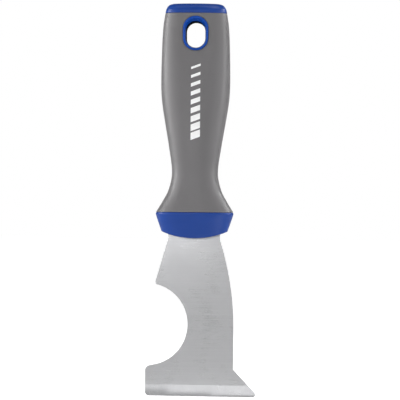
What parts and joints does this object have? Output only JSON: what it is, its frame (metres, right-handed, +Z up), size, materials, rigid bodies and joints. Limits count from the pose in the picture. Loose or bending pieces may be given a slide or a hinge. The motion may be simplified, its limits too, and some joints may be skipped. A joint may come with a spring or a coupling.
{
  "type": "painters multi tool",
  "caption": "Hand scraper with a stiff pointed blade, a side notch for cleaning roller sleeves and a soft grip with a hang hole.",
  "frame": {"origin": "centre of the hang hole, in the middle of the tool's thickness", "axes": "+Z up the tool to its butt, as it hangs; +X to the right of the bevelled face; -Y out of the bevelled face"},
  "size_m": [0.0641, 0.0268, 0.2281],
  "materials": {
    "blade_steel": "fine satin, stainless",
    "blue_plastic": "moulded, fine satin texture",
    "grey_grip": "matt soft-touch elastomer",
    "rivet_steel": "turned, plain"
  },
  "bodies": {
    "root": {"blade": "blade_steel", "core_front": "blue_plastic", "core_rear": "blue_plastic", "bolster": "blue_plastic", "end_cap": "blue_plastic", "grip_sleeve": "grey_grip", "hole_ring_front": "blue_plastic", "hole_ring_rear": "blue_plastic", "rivet_post_1": "rivet_steel", "rivet_post_2": "rivet_steel", "rivet_post_3": "rivet_steel", "rivet_socket_1": "rivet_steel", "rivet_socket_2": "rivet_steel", "rivet_socket_3": "rivet_steel"}
  },
  "joints": []
}
